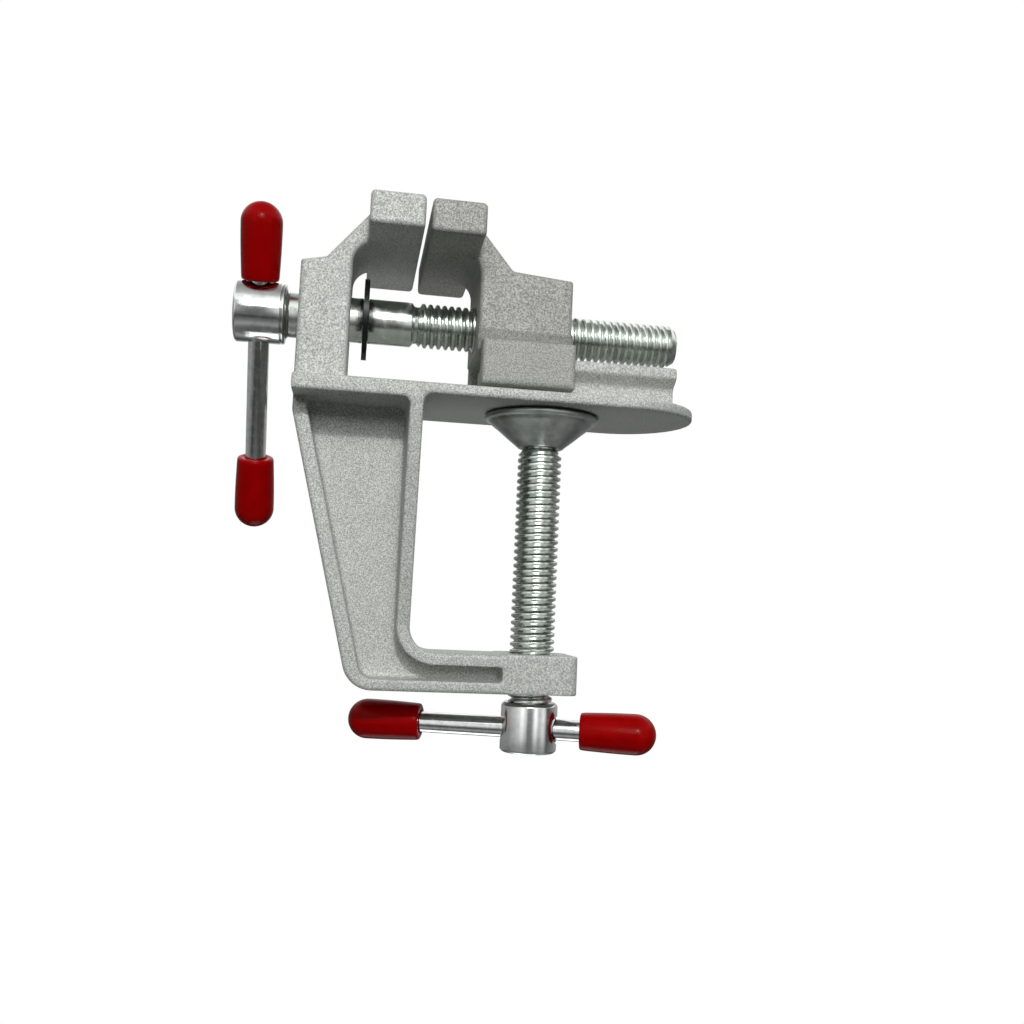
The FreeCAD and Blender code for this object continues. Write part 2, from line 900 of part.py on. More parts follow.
hub_top = -size["clamp_hub_top"]
clamp_bar_height = hub_top - size["clamp_bar_below"]
clamp_bar_stand = ((ZERO, ZERO, clamp_bar_height), Vector(0, 0, -1), size["clamp_bar_turn"])
clamp_bar_labels = ("clamp_bar_cap_right", "clamp_bar_cap_left")
clamp_bar_bodies = bar_and_caps(
    "clamp_bar", clamp_bar_labels, "X", size["clamp_bar_right"], size["clamp_bar_free"], clamp_bar_stand
)

# ---------------------------------------------------------------- clamp screw, hub and pad

pad_top = -size["pad_rest_gap"]
pad_bottom = pad_top - size["pad_height"]
pad_floor_top = pad_bottom + size["pad_floor"]
shoulder = pad_bottom - size["pivot_gap"]


def clamp_screw():
    """The clamp screw, with a neck and a peened head that hold the swivel pad."""
    body = new_body("clamp_screw")
    chamfer = size["screw_chamfer"]
    head = half["pivot_head_dia"]
    head_low = pad_floor_top + size["pivot_gap"]
    head_top = head_low + size["pivot_head_height"]
    crown = head / 2
    profile = [
        (hub_top - size["spigot_length"], ZERO),
        (head_top, ZERO),
        (head_top, crown),
        (head_low + size["pivot_head_height"] / 2, head),
        (head_low, head),
        (head_low, half["pivot_neck_dia"]),
        (shoulder, half["pivot_neck_dia"]),
        (shoulder, screw_radius - chamfer),
        (shoulder - chamfer, screw_radius),
        (hub_top, screw_radius),
        (hub_top, spigot_radius),
        (hub_top - size["spigot_length"], spigot_radius),
    ]
    turned(body, "clamp_screw_turning", "Z", profile)
    threaded(body, "clamp_thread", "Z", hub_top, shoulder - chamfer - hub_top)
    return body


def clamp_hub():
    """The head of the clamp screw, cross-drilled for its bar."""
    body = new_body("clamp_screw_hub")
    low = hub_top - size["clamp_hub_length"]
    outer = half["clamp_hub_dia"]
    chamfer = size["hub_chamfer"]
    profile = [
        (low, ZERO),
        (hub_top - size["spigot_length"], ZERO),
        (hub_top - size["spigot_length"], spigot_radius),
        (hub_top, spigot_radius),
        (hub_top, outer - chamfer),
        (hub_top - chamfer, outer),
        (low + chamfer, outer),
        (low, outer - chamfer),
    ]
    turned(body, "clamp_hub_turning", "Z", profile)
    hole = new_sketch(body, "clamp_hub_hole_circle", "YZ_Plane")
    add_circle(hole, ZERO, clamp_bar_height, half["bar_hole_dia"])
    swept(body, "Pocket", "clamp_hub_hole", hole)
    place(body, (ZERO, ZERO, ZERO), Vector(0, 0, -1), size["clamp_bar_turn"])
    return body


def swivel_pad():
    """The pressed steel cup that bears on the table's underside."""
    body = new_body("swivel_pad")
    rim = half["pad_dia"]
    foot = half["pad_foot_dia"]
    hole = half["pad_hole_dia"]
    wall = size["pad_wall"]
    land = size["pad_land"]
    profile = [
        (pad_bottom, hole),
        (pad_floor_top, hole),
        (pad_floor_top, foot),
        (pad_top - wall, rim - land - wall),
        (pad_top, rim - land - wall / 2),
        (pad_top, rim),
        (pad_top - size["pad_rim"], rim),
        (pad_top - size["pad_rim"] - wall / 2, rim - land),
        (pad_bottom, foot),
    ]
    turned(body, "pad_turning", "Z", profile)
    return body


clamp_screw_body = clamp_screw()
clamp_hub_body = clamp_hub()
pad_body = swivel_pad()

# ---------------------------------------------------------------- checks and files

doc.recompute()
for item in doc.Objects:
    if "Invalid" in item.State or "Error" in item.State:
        raise RuntimeError(item.Name + " did not compute: " + str(item.State))

nodes = [frame_casting, moving_jaw, vise_screw_body, vise_hub_body, clip_body]
nodes += vise_bar_bodies + clamp_bar_bodies + [clamp_screw_body, clamp_hub_body, pad_body]
for node in nodes:
    shape = node.Shape
    if shape.isNull() or not shape.isValid():
        raise RuntimeError(node.Label + " is not a valid solid")
    if len(shape.Solids) != 1:
        raise RuntimeError(node.Label + " is in " + str(len(shape.Solids)) + " pieces")

os.makedirs("parts", exist_ok=True)
for node in nodes:
    node.Shape.exportStep("parts/" + node.Label + ".step")
    box = node.Shape.BoundBox
    corners = [box.XMin, box.YMin, box.ZMin, box.XMax, box.YMax, box.ZMax]
    print(node.Label, [round(value, 2) for value in corners], round(node.Shape.Volume, 2))
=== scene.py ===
import json
import math

import bpy
from mathutils import Matrix, Vector


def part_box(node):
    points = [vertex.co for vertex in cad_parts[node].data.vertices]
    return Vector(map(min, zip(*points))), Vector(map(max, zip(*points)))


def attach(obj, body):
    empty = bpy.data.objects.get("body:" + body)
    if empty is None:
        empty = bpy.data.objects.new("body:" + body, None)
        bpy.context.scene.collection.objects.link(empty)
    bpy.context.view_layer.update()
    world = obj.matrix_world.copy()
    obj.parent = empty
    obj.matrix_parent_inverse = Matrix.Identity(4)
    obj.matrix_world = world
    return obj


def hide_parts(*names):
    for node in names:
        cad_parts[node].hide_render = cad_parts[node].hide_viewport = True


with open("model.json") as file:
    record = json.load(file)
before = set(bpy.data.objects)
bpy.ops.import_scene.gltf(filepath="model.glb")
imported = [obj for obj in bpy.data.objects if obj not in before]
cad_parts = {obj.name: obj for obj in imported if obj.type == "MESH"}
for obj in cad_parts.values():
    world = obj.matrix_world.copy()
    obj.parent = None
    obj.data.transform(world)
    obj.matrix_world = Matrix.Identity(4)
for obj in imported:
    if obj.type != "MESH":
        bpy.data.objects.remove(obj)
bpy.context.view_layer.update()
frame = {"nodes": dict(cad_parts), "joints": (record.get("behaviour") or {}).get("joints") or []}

nodes = frame["nodes"]
joints = {joint["name"]: joint for joint in frame["joints"]}

MM = 0.001
# The pitch of both screws.
PITCH = 1.25 * MM
# Corners this close are one corner: of a turned shell, and of a cut or copied mesh.
WELD = 0.002 * MM
FINE_WELD = 0.001 * MM
# The width of an edge that is broken on the lathe.
EDGE_BREAK = 0.12 * MM

# ---------------------------------------------------------------- colours and node helper


def linear(code):
    """An sRGB hex colour as linear RGBA."""
    parts = [int(code[place:place + 2], 16) / 255 for place in (1, 3, 5)]
    curve = [part / 12.92 if part <= 0.04045 else ((part + 0.055) / 1.055) ** 2.4 for part in parts]
    return (*curve, 1.0)


def add_node(tree, kind, links=None, **settings):
    """One node with its settings; links maps an input's name or number to a socket or a value."""
    node = tree.nodes.new(kind)
    for name, value in settings.items():
        setattr(node, name, value)
    for key, value in (links or {}).items():
        socket = node.inputs[key]
        if isinstance(value, bpy.types.NodeSocket):
            tree.links.new(value, socket)
        else:
            socket.default_value = value
    return node


def new_material(name, **constants):
    """A material with one Principled shader, its constant sockets, and the place on the piece."""
    material = bpy.data.materials.new(name)
    material.use_nodes = True
    tree = material.node_tree
    shader = tree.nodes["Principled BSDF"]
    for socket, value in constants.items():
        shader.inputs[socket.replace("_", " ")].default_value = value
    place = add_node(tree, "ShaderNodeTexCoord").outputs["Object"]
    return material, tree, shader, place


def ramp(tree, factor, stops):
    """A colour ramp from (position, hex colour or grey) stops."""
    node = add_node(tree, "ShaderNodeValToRGB", {0: factor})
    elements = node.color_ramp.elements
    while len(elements) < len(stops):
        elements.new(0.5)
    for element, (position, colour) in zip(elements, stops):
        element.position = position
        element.color = linear(colour) if isinstance(colour, str) else (colour, colour, colour, 1)
    return node


def per_mm(size):
    """The texture scale that makes one feature this many millimetres across."""
    return 1 / (size * MM)


# ---------------------------------------------------------------- materials


def cast_aluminium(name, dark, middle, light, cloud_dark, cloud_light):
    """Aluminium die casting, tumbled and shot-blasted.

    The shot leaves overlapping dimples up to 0.3 mm across. They scatter nearly all the light, so
    little of the metal's mirror is left, and they read as a fine salt-and-pepper grain. Broader
    clouds 5 mm wide come from the skin of the casting.
    """
    material, tree, shader, place = new_material(name, Metallic=0.15, Specular_IOR_Level=0.25)
    grain = add_node(tree, "ShaderNodeTexNoise", {
        "Vector": place, "Scale": per_mm(0.22), "Detail": 2.0, "Roughness": 0.6})
    dimple = add_node(tree, "ShaderNodeTexVoronoi", {
        "Vector": place, "Scale": per_mm(0.3), "Randomness": 1.0}, feature="SMOOTH_F1")
    cloud = add_node(tree, "ShaderNodeTexNoise", {
        "Vector": place, "Scale": per_mm(5.0), "Detail": 4.0, "Roughness": 0.6})
    speckle = ramp(tree, grain.outputs["Fac"], [(0.37, dark), (0.50, middle), (0.63, light)])
    skin = ramp(tree, cloud.outputs["Fac"], [(0.3, cloud_dark), (0.7, cloud_light)])
    tone = add_node(tree, "ShaderNodeMix", {
        "Factor": 0.3, 6: speckle.outputs["Color"], 7: skin.outputs["Color"]}, data_type="RGBA")
    tree.links.new(tone.outputs[2], shader.inputs["Base Color"])
    gloss = add_node(tree, "ShaderNodeMapRange", {
        "Value": grain.outputs["Fac"], "From Min": 0.3, "From Max": 0.7,
        "To Min": 0.72, "To Max": 0.52})
    tree.links.new(gloss.outputs["Result"], shader.inputs["Roughness"])
    pits = add_node(tree, "ShaderNodeBump", {
        "Height": dimple.outputs["Distance"], "Strength": 0.25, "Distance": 0.05 * MM})
    relief = add_node(tree, "ShaderNodeBump", {
        "Height": grain.outputs["Fac"], "Strength": 0.7, "Distance": 0.07 * MM,
        "Normal": pits.outputs["Normal"]})
    tree.links.new(relief.outputs["Normal"], shader.inputs["Normal"])
    return material


def radius_of(tree, place, axis, centre):
    """Distance from a turning axis, so that rings on an end face run round it."""
    shift = add_node(tree, "ShaderNodeVectorMath", {0: place, 1: centre}, operation="SUBTRACT")
    keep = Vector((1, 1, 1)) - axis
    flat = add_node(tree, "ShaderNodeVectorMath", {0: shift.outputs[0], 1: keep}, operation="MULTIPLY")
    across = add_node(tree, "ShaderNodeVectorMath", {0: flat.outputs[0]}, operation="LENGTH")
    return across.outputs["Value"]


def turned_steel(name, axis, centre, shades, roughness, mark_depth):
    """Steel turned on a lathe, or pressed in a turned die, and plated.

    The tool leaves rings 0.15 mm apart round the axis, which draw the highlights out sideways,
    and the plating has faint clouds 2 mm wide.
    """
    material, tree, shader, place = new_material(name, Metallic=1.0)
    along = add_node(tree, "ShaderNodeVectorMath", {0: place, 1: axis}, operation="DOT_PRODUCT")
    across = radius_of(tree, place, axis, centre)
    ring_place = add_node(tree, "ShaderNodeCombineXYZ", {0: along.outputs["Value"], 1: across})
    rings = add_node(tree, "ShaderNodeTexNoise", {
        "Vector": ring_place.outputs[0], "Scale": per_mm(0.15), "Detail": 2.0}, noise_dimensions="2D")
    cloud = add_node(tree, "ShaderNodeTexNoise", {
        "Vector": place, "Scale": per_mm(2.0), "Detail": 5.0, "Roughness": 0.65})
    tint = ramp(tree, cloud.outputs["Fac"], [(0.35, shades[0]), (0.65, shades[1])])
    tree.links.new(tint.outputs["Color"], shader.inputs["Base Color"])
    haze = add_node(tree, "ShaderNodeMapRange", {
        "Value": cloud.outputs["Fac"], "From Min": 0.35, "From Max": 0.7,
        "To Min": roughness[0], "To Max": roughness[1]})
    tree.links.new(haze.outputs["Result"], shader.inputs["Roughness"])
    marks = add_node(tree, "ShaderNodeBump", {
        "Height": rings.outputs["Fac"], "Strength": mark_depth, "Distance": 0.02 * MM})
    tree.links.new(marks.outputs["Normal"], shader.inputs["Normal"])
    return material


def drawn_bar_steel(name, direction):
    """Bright drawn rod, nickel plated.

    Drawing leaves hair lines 0.1 mm apart along the rod; handling adds short dull scuffs.
    """
    material, tree, shader, place = new_material(name, Metallic=1.0)
    along = add_node(tree, "ShaderNodeVectorMath", {0: place, 1: direction}, operation="DOT_PRODUCT")
    run = add_node(
        tree, "ShaderNodeVectorMath", {0: direction, "Scale": along.outputs["Value"]},
        operation="SCALE")
    flat = add_node(tree, "ShaderNodeVectorMath", {0: place, 1: run.outputs[0]}, operation="SUBTRACT")
    slow = add_node(
        tree, "ShaderNodeVectorMath", {0: run.outputs[0], "Scale": 0.02}, operation="SCALE")
    line_place = add_node(
        tree, "ShaderNodeVectorMath", {0: flat.outputs[0], 1: slow.outputs[0]}, operation="ADD")
    lines = add_node(tree, "ShaderNodeTexNoise", {
        "Vector": line_place.outputs[0], "Scale": per_mm(0.1), "Detail": 2.0})
    scuff = add_node(tree, "ShaderNodeTexNoise", {
        "Vector": place, "Scale": per_mm(1.2), "Detail": 6.0, "Roughness": 0.7})
    tint = ramp(tree, scuff.outputs["Fac"], [(0.35, "#C6C9C8"), (0.62, "#DFE1E0")])
    tree.links.new(tint.outputs["Color"], shader.inputs["Base Color"])
    dull = add_node(tree, "ShaderNodeMapRange", {
        "Value": scuff.outputs["Fac"], "From Min": 0.5, "From Max": 0.8,
        "To Min": 0.09, "To Max": 0.26})
    tree.links.new(dull.outputs["Result"], shader.inputs["Roughness"])
    relief = add_node(tree, "ShaderNodeBump", {
        "Height": lines.outputs["Fac"], "Strength": 0.12, "Distance": 0.01 * MM})
    tree.links.new(relief.outputs["Normal"], shader.inputs["Normal"])
    return material


def dipped_vinyl():
    """Red PVC plastisol, dipped and cured.

    The skin is glossy with slow ripples about 2 mm wide where it ran, and a few specks of dust.
    """
    material, tree, shader, place = new_material(
        "dipped_red_vinyl", IOR=1.45, Specular_IOR_Level=0.06)
    ripple = add_node(tree, "ShaderNodeTexNoise", {
        "Vector": place, "Scale": per_mm(2.2), "Detail": 2.0, "Roughness": 0.4})
    speck = add_node(tree, "ShaderNodeTexNoise", {
        "Vector": place, "Scale": per_mm(0.35), "Detail": 3.0, "Roughness": 0.6})
    tint = ramp(tree, ripple.outputs["Fac"], [(0.3, "#9D0103"), (0.7, "#A90203")])
    tree.links.new(tint.outputs["Color"], shader.inputs["Base Color"])
    gloss = add_node(tree, "ShaderNodeMapRange", {
        "Value": speck.outputs["Fac"], "From Min": 0.35, "From Max": 0.75,
        "To Min": 0.14, "To Max": 0.26})
    tree.links.new(gloss.outputs["Result"], shader.inputs["Roughness"])
    run = add_node(tree, "ShaderNodeBump", {
        "Height": ripple.outputs["Fac"], "Strength": 0.3, "Distance": 0.12 * MM})
    dust = add_node(tree, "ShaderNodeBump", {
        "Height": speck.outputs["Fac"], "Strength": 0.12, "Distance": 0.02 * MM,
        "Normal": run.outputs["Normal"]})
    tree.links.new(dust.outputs["Normal"], shader.inputs["Normal"])
    return material


def black_spring_steel():
    """Stamped spring steel, oil blackened: near black, with a satin sheen and fine grit."""
    material, tree, shader, place = new_material("oil_blackened_steel", Metallic=0.6)
    grit = add_node(tree, "ShaderNodeTexNoise", {
        "Vector": place, "Scale": per_mm(0.3), "Detail": 4.0, "Roughness": 0.6})
    tint = ramp(tree, grit.outputs["Fac"], [(0.35, "#0B0C0D"), (0.7, "#26282A")])
    tree.links.new(tint.outputs["Color"], shader.inputs["Base Color"])
    sheen = add_node(tree, "ShaderNodeMapRange", {
        "Value": grit.outputs["Fac"], "From Min": 0.3, "From Max": 0.7, "To Min": 0.3, "To Max": 0.5})
    tree.links.new(sheen.outputs["Result"], shader.inputs["Roughness"])
    relief = add_node(tree, "ShaderNodeBump", {
        "Height": grit.outputs["Fac"], "Strength": 0.2, "Distance": 0.02 * MM})
    tree.links.new(relief.outputs["Normal"], shader.inputs["Normal"])
    return material


# ---------------------------------------------------------------- shared places


def stations(node, origin, direction):
    """Where a CAD node begins and ends along an axis."""
    along = [(vertex.co - origin).dot(direction) for vertex in nodes[node].data.vertices]
    return min(along), max(along)


def reach(node, origin, direction):
    """The largest distance of a CAD node from an axis."""
    steps = [vertex.co - origin for vertex in nodes[node].data.vertices]
    return max((step - direction * step.dot(direction)).length for step in steps)


def axis_matrix(origin, direction):
    """Stands the local Z axis along a direction."""
    return Matrix.Translation(origin) @ direction.to_track_quat("Z", "Y").to_matrix().to_4x4()


def box_middle(node):
    """The middle of a CAD node's box."""
    low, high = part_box(node)
    return (low + high) / 2


X_AXIS = Vector((1, 0, 0))
Z_AXIS = Vector((0, 0, 1))
screw_low, screw_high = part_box("vise_screw")
screw_height = (screw_low.z + screw_high.z) / 2
screw_radius = (screw_high.z - screw_low.z) / 2
# Each screw ends in a thinner journal inside its hub.
journal_radius = screw_radius * 0.64
vise_axis = Vector((0, 0, screw_height))
clamp_axis = Vector((0, 0, 0))
vise_bar_axis = Vector(joints["vise_bar_slide"]["axis"]).normalized()
clamp_bar_axis = Vector(joints["clamp_bar_slide"]["axis"]).normalized()
vise_bar_origin = Vector((box_middle("vise_bar").x, 0, screw_height))
clamp_bar_origin = Vector((0, 0, box_middle("clamp_bar").z))

# ---------------------------------------------------------------- modelling helpers


def only(piece):
    """Select and activate one object and nothing else."""
    bpy.ops.object.select_all(action="DESELECT")
    piece.select_set(True)
    bpy.context.view_layer.objects.active = piece


def apply_modifier(piece, kind, **settings):
    """Add a modifier with these settings and apply it."""
    only(piece)
    modifier = piece.modifiers.new(kind.lower(), kind)
    for name, value in settings.items():
        setattr(modifier, name, value)
    bpy.ops.object.modifier_apply(modifier=modifier.name)


def new_piece(name, corners, faces=()):
    """A piece with these corners: joined by the faces, or else by one open line."""
    line = [] if faces else [(index, index + 1) for index in range(len(corners) - 1)]
    mesh = bpy.data.meshes.new(name)
    mesh.from_pydata(corners, line, faces)
    piece = bpy.data.objects.new(name, mesh)
    bpy.context.scene.collection.objects.link(piece)
    only(piece)
    return piece


def close_shell(weld):
    """Merge the doubles of the mesh in edit mode, turn its faces outwards and leave the mode."""
    bpy.ops.mesh.select_all(action="SELECT")
    bpy.ops.mesh.remove_doubles(threshold=weld)
    bpy.ops.mesh.normals_make_consistent(inside=False)
    bpy.ops.object.mode_set(mode="OBJECT")


def spun(name, profile, steps):
    """Spin a profile of (station, radius) corners round the local Z axis into a closed shell."""
    piece = new_piece(name, [(radius, 0, station) for station, radius in profile])
    bpy.ops.object.mode_set(mode="EDIT")
    bpy.ops.mesh.select_all(action="SELECT")
    bpy.ops.mesh.spin(steps=steps, angle=2 * math.pi, center=(0, 0, 0), axis=(0, 0, 1))
    close_shell(WELD)
    return piece


def quarter_arc(steps):
    """The angles of a quarter turn, from 0 to 90 degrees."""
    return [math.radians(90 * step / steps) for step in range(steps + 1)]


def rounded_edges(piece, width, angle):
    """Round the edges that are sharper than the angle."""
    apply_modifier(
        piece, "BEVEL", width=width, segments=2, limit_method="ANGLE",
        angle_limit=math.radians(angle), harden_normals=False, use_clamp_overlap=True)


def smooth(piece, angle=32):
    """Shade smooth, with the edges sharper than the angle left sharp."""
    only(piece)
    bpy.ops.object.shade_smooth_by_angle(angle=math.radians(angle))


def cut_away(piece, cutter):
    """Take the cutter's volume out of a piece, and delete the cutter."""
    apply_modifier(piece, "BOOLEAN", operation="DIFFERENCE", object=cutter, solver="EXACT")
    bpy.data.objects.remove(cutter)


def drill(piece, radius, length, matrix):
    """Cut a round hole through a piece, along the matrix's own Z axis."""
    bpy.ops.mesh.primitive_cylinder_add(vertices=64, radius=radius, depth=length)
    cutter = bpy.context.object
    cutter.data.transform(matrix)
    cut_away(piece, cutter)


def joined(name, parts):
    """Join the parts into the first one, under a new name."""
    bpy.ops.object.select_all(action="DESELECT")
    for part in parts:
        part.select_set(True)
    bpy.context.view_layer.objects.active = parts[0]
    bpy.ops.object.join()
    parts[0].name = name
    return parts[0]


def finish_piece(piece, node, body, material):
    """Dress a piece, and let it stand for a CAD node on that node's body."""
    piece.data.materials.clear()
    piece.data.materials.append(material)
    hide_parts(node)
    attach(piece, body)


# ---------------------------------------------------------------- castings

CAST_VOXEL = 0.3 * MM
# Rounds of smoothing: before the wrap for the fillets, and after it for the tumbled edges.
CAST_FILLETING = 4
CAST_TUMBLING = 3
# The share of the triangles that is kept.
CAST_KEEP = 0.5
# How far a bar that fills an inner corner reaches into the walls beside it.
FILLET_SINK = 0.3 * MM
# How far a cut runs past each end of a casting.
CUT_OVERRUN = 1 * MM


def prism(outline, run):
    """A closed bar with this outline, as long as the run."""
    count = len(outline)
    faces = [tuple(range(count)), tuple(range(2 * count - 1, count - 1, -1))]
    for corner in range(count):
        after = (corner + 1) % count
        faces.append((corner, corner + count, after + count, after))
    piece = new_piece("prism", [*outline, *(corner + run for corner in outline)], faces)
    bpy.ops.object.mode_set(mode="EDIT")
    close_shell(FINE_WELD)
    return piece


def fillet_bar(corner, radius, side, half_width):
    """A bar along Y with one hollow side, to fill an inner corner below a flat surface.

    The side is 1 where the corner opens towards X, and -1 where it opens the other way.
    """
    x, z = corner
    outline = [(x - side * FILLET_SINK, z + FILLET_SINK), (x + side * radius, z + FILLET_SINK)]
    for angle in quarter_arc(6):
        outline.append((
            x + side * radius * (1 - math.sin(angle)), z - radius * (1 - math.cos(angle))))
    outline.append((x - side * FILLET_SINK, z - radius))
    return prism([Vector((x, -half_width, z)) for x, z in outline], Vector((0, 2 * half_width, 0)))


def casting(name, node, body, material, extras=(), reliefs=()):
    """A die casting: the node's shape with the fillets that a mould leaves in its inner corners.

    Smoothing fills the inner corners and wears down the outer ones, the wrap brings the outer ones
    back to size, and the last smoothing takes their sharpness off as tumbling does. The reliefs are
    (y, z) outlines cut away along X.
    """
    piece = nodes[node].copy()
    piece.data = nodes[node].data.copy()
    piece.parent = None
    for key in list(piece.keys()):
        del piece[key]
    piece.name = name
    bpy.context.scene.collection.objects.link(piece)
    only(piece)
    bpy.ops.object.mode_set(mode="EDIT")
    bpy.ops.mesh.select_all(action="SELECT")
    bpy.ops.mesh.remove_doubles(threshold=FINE_WELD)
    bpy.ops.object.mode_set(mode="OBJECT")
    if extras:
        piece = joined(name, [piece, *extras])
    apply_modifier(piece, "REMESH", mode="VOXEL", voxel_size=CAST_VOXEL, use_smooth_shade=True)
    apply_modifier(piece, "SMOOTH", factor=0.5, iterations=CAST_FILLETING)
    apply_modifier(
        piece, "SHRINKWRAP", target=nodes[node], wrap_method="NEAREST_SURFACEPOINT",
        wrap_mode="OUTSIDE")
    apply_modifier(piece, "SMOOTH", factor=0.5, iterations=CAST_TUMBLING)
    apply_modifier(piece, "DECIMATE", ratio=CAST_KEEP)
    low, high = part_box(node)
    for outline in reliefs:
        cut_away(piece, prism(
            [Vector((low.x - CUT_OVERRUN, y, z)) for y, z in outline],
            Vector((high.x - low.x + 2 * CUT_OVERRUN, 0, 0))))
    smooth(piece, angle=50)
    finish_piece(piece, node, body, material)


# ---------------------------------------------------------------- threads and screws

THREAD_DEPTH = 0.68 * MM
THREAD_STEPS = 48
# Turns that are made before the low end. They and those past the high end are cut off.
SPARE_TURNS = 2
# The shank of the vise screw ends, and its thread begins, this far from the clamp screw's axis.
SHANK_END = -24.2 * MM
THREAD_START = -23.2 * MM


def thread(name, low, high, major, lead_in, lead_out):
    """A rolled metric thread along the local Z axis, flat at both ends.

    One pitch of the outline is carried round by the Screw modifier. Near each end the crests
    are held under a cone, lead_in and lead_out long, as the chamfer of a cut thread is.
    """
    minor = major - THREAD_DEPTH
    root = minor + THREAD_DEPTH * 0.1
    shoulder = major - THREAD_DEPTH * 0.12
    crest = major - THREAD_DEPTH * 0.02
    outline = [  # (share of the pitch, radius)
        (0.0, minor), (0.04, minor), (0.09, root), (0.31, shoulder), (0.37, crest), (0.44, major),
        (0.60, major), (0.67, crest), (0.73, shoulder), (0.95, root), (1.0, minor)]
    first = low - SPARE_TURNS * PITCH
    piece = new_piece(name, [(radius, 0, first + share * PITCH) for share, radius in outline])
    turns = math.ceil((high - low) / PITCH) + SPARE_TURNS + 1
    apply_modifier(
        piece, "SCREW", axis="Z", angle=2 * math.pi, screw_offset=PITCH, iterations=turns,
        steps=THREAD_STEPS, render_steps=THREAD_STEPS, use_merge_vertices=True,
        merge_threshold=WELD)
    bpy.ops.object.mode_set(mode="EDIT")
    for height, side in ((low, -1), (high, 1)):
        bpy.ops.mesh.select_all(action="SELECT")
        bpy.ops.mesh.bisect(
            plane_co=(0, 0, height), plane_no=(0, 0, side), use_fill=True, clear_outer=True)
    close_shell(FINE_WELD)
    end_radius = minor * 0.97
    for vertex in piece.data.vertices:
        radius = math.hypot(vertex.co.x, vertex.co.y)
        gap_low = (vertex.co.z - low) / lead_in
        gap_high = (high - vertex.co.z) / lead_out
        limit = end_radius + (major - end_radius) * min(1, gap_low, gap_high)
        if radius > limit:
            vertex.co.x *= limit / radius
            vertex.co.y *= limit / radius
    return piece


def vise_screw(material):
    """The vise screw: a smooth shank with the clip's groove, a run-out, and the thread."""
    start, end = stations("vise_screw", vise_axis, X_AXIS)
    clip_low, clip_high = stations("retaining_clip", vise_axis, X_AXIS)
    journal_end = start + 1.7 * MM
    groove_radius = 3.5 * MM
    groove_play = 0.05 * MM
    groove_start = clip_low - groove_play
    groove_end = clip_high + groove_play
    run_out_end = THREAD_START + 0.4 * MM
    shank = spun("vise_shank", [
        (start, 0), (start, journal_radius), (journal_end, journal_radius),
        (journal_end, screw_radius), (groove_start, screw_radius), (groove_start, groove_radius),
        (groove_end, groove_radius), (groove_end, screw_radius), (SHANK_END, screw_radius),
        (SHANK_END + 0.5 * MM, screw_radius * 0.84), (run_out_end, screw_radius * 0.80),
        (run_out_end, 0)], steps=72)
    rounded_edges(shank, EDGE_BREAK, angle=28)
    screw_thread = thread(
        "vise_thread", THREAD_START, end, screw_radius, lead_in=0.8 * MM, lead_out=1.3 * MM)
    piece = joined("vise_screw_turned", [shank, screw_thread])
    piece.data.transform(axis_matrix(vise_axis, X_AXIS))
    smooth(piece)
    finish_piece(piece, "vise_screw", "vise_screw", material)


def clamp_screw(material):
    """The clamp screw: thread, neck and the peened head that holds the pad."""
    start, end = stations("clamp_screw", clamp_axis, Z_AXIS)
    pad_foot = stations("swivel_pad", clamp_axis, Z_AXIS)[0]
    thread_start = start + 1.7 * MM
    shoulder = pad_foot - 0.3 * MM
    overlap = 0.2 * MM
    neck_start = shoulder - 0.6 * MM
    neck_radius = 2.3 * MM
    head_start = pad_foot + 1.3 * MM
    head_radius = 3.6 * MM
    top = spun("clamp_neck", [
        (neck_start, 0), (neck_start, neck_radius), (head_start, neck_radius),
        (head_start, head_radius), (head_start + 0.8 * MM, head_radius),
        (end - 0.3 * MM, head_radius * 0.6), (end, head_radius * 0.3), (end, 0)], steps=72)
    rounded_edges(top, 0.15 * MM, angle=28)
    journal = spun("clamp_journal", [
        (start, 0), (start, journal_radius), (thread_start + overlap, journal_radius),
        (thread_start + overlap, 0)], steps=32)
    screw_thread = thread(
        "clamp_thread", thread_start, shoulder, screw_radius, lead_in=0.05 * MM, lead_out=0.9 * MM)
    piece = joined("clamp_screw_turned", [screw_thread, top, journal])
    smooth(piece)
    finish_piece(piece, "clamp_screw", "clamp_screw", material)


# ---------------------------------------------------------------- hubs, bars, caps

# The radius of the hole in each hub.
BAR_HOLE = 2.4 * MM


def vise_hub(material):
    """The vise screw's head: a drum with a groove behind its lip, flared down to the shank."""
    start, end = stations("vise_screw_hub", vise_axis, X_AXIS)
    outer = reach("vise_screw_hub", vise_axis, X_AXIS)
    chamfer = 0.35 * MM
    flare = 0.6 * MM
    flare_start = end - flare
    groove = flare_start - 0.6 * MM
    groove_depth = 0.25 * MM
    groove_half = 0.15 * MM
    lip_round = 0.1 * MM
    profile = [
        (start, 0), (start, outer - chamfer), (start + chamfer, outer),
        (groove - groove_half, outer), (groove, outer - groove_depth),
        (groove + groove_half, outer), (flare_start - lip_round, outer - lip_round)]
    for angle in quarter_arc(8):
        profile.append((
            end - flare * math.cos(angle),
            screw_radius + (outer - chamfer - screw_radius) * (1 - math.sin(angle))))
    profile.append((end, 0))
    piece = spun("vise_hub_turned", profile, steps=96)
    rounded_edges(piece, EDGE_BREAK, angle=35)
    piece.data.transform(axis_matrix(vise_axis, X_AXIS))
    drill(piece, BAR_HOLE, 4 * outer, axis_matrix(vise_bar_origin, vise_bar_axis))
    smooth(piece)
    finish_piece(piece, "vise_screw_hub", "vise_screw", material)


